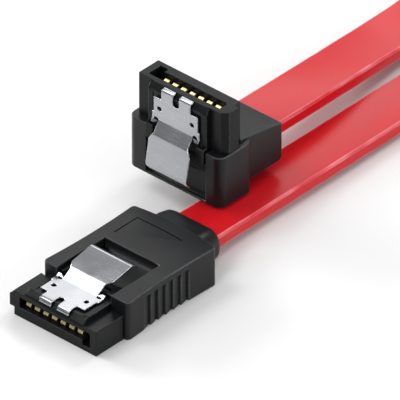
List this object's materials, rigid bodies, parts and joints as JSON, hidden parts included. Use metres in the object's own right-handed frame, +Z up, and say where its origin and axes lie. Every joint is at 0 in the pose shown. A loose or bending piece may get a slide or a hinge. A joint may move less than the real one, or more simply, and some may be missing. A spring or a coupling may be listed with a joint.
{
  "type": "sata data cable",
  "caption": "Flat red data cable with a straight latching plug at one end and a right-angle latching plug at the other, its spare length coiled.",
  "frame": {"origin": "on the flat underside of the straight plug's overmould, on the plug's middle line, 11.6 mm behind its mating face", "axes": "+X the way the cable leaves the straight plug, so that its mating face looks along -X; +Z up, the straight plug's latch side; +Y across the plugs, towards the right-angle plug"},
  "size_m": [0.1616, 0.0702, 0.0147],
  "materials": {
    "housing_plastic": "moulded black insulator plastic, semi-gloss",
    "overmould_plastic": "black overmoulded vinyl, fine matt texture",
    "spring_steel": "bright stainless spring strip",
    "contact_metal": "pale gold-plated contact alloy",
    "cable_jacket": "soft red vinyl jacket, satin",
    "wire_insulation": "off-white insulation",
    "bare_wire": "tinned copper wire",
    "tie_plastic": "black tie"
  },
  "bodies": {
    "cable": {"straight_housing": "housing_plastic", "angled_housing": "housing_plastic", "straight_overmould": "overmould_plastic", "angled_overmould": "overmould_plastic", "straight_contact_1": "contact_metal", "straight_contact_2": "contact_metal", "straight_contact_3": "contact_metal", "straight_contact_4": "contact_metal", "straight_contact_5": "contact_metal", "straight_contact_6": "contact_metal", "straight_contact_7": "contact_metal", "angled_contact_1": "contact_metal", "angled_contact_2": "contact_metal", "angled_contact_3": "contact_metal", "angled_contact_4": "contact_metal", "angled_contact_5": "contact_metal", "angled_contact_6": "contact_metal", "angled_contact_7": "contact_metal", "straight_ground_wire_1": "bare_wire", "straight_signal_wire_2": "wire_insulation", "straight_signal_wire_3": "wire_insulation", "straight_ground_wire_4": "bare_wire", "straight_signal_wire_5": "wire_insulation", "straight_signal_wire_6": "wire_insulation", "straight_ground_wire_7": "bare_wire", "angled_ground_wire_1": "bare_wire", "angled_signal_wire_2": "wire_insulation", "angled_signal_wire_3": "wire_insulation", "angled_ground_wire_4": "bare_wire", "angled_signal_wire_5": "wire_insulation", "angled_signal_wire_6": "wire_insulation", "angled_ground_wire_7": "bare_wire", "cable_straight_lead": "cable_jacket", "cable_angled_lead": "cable_jacket", "cable_coil": "cable_jacket", "coil_tie": "tie_plastic"},
    "straight_latch": {"straight_latch_spring": "spring_steel"},
    "angled_latch": {"angled_latch_spring": "spring_steel"}
  },
  "joints": [
    {"name": "straight_latch_press", "type": "hinge", "parent": "cable", "child": "straight_latch", "pos_m": [-0.0116, 0.0002, 0.004], "axis": [0, 1, 0], "range_deg": [0, 5], "stiffness_Nm_per_rad": 0.05},
    {"name": "angled_latch_press", "type": "hinge", "parent": "cable", "child": "angled_latch", "pos_m": [0.0154, 0.00675, 0.0147], "axis": [0, -1, 0], "range_deg": [0, 5], "stiffness_Nm_per_rad": 0.05}
  ]
}
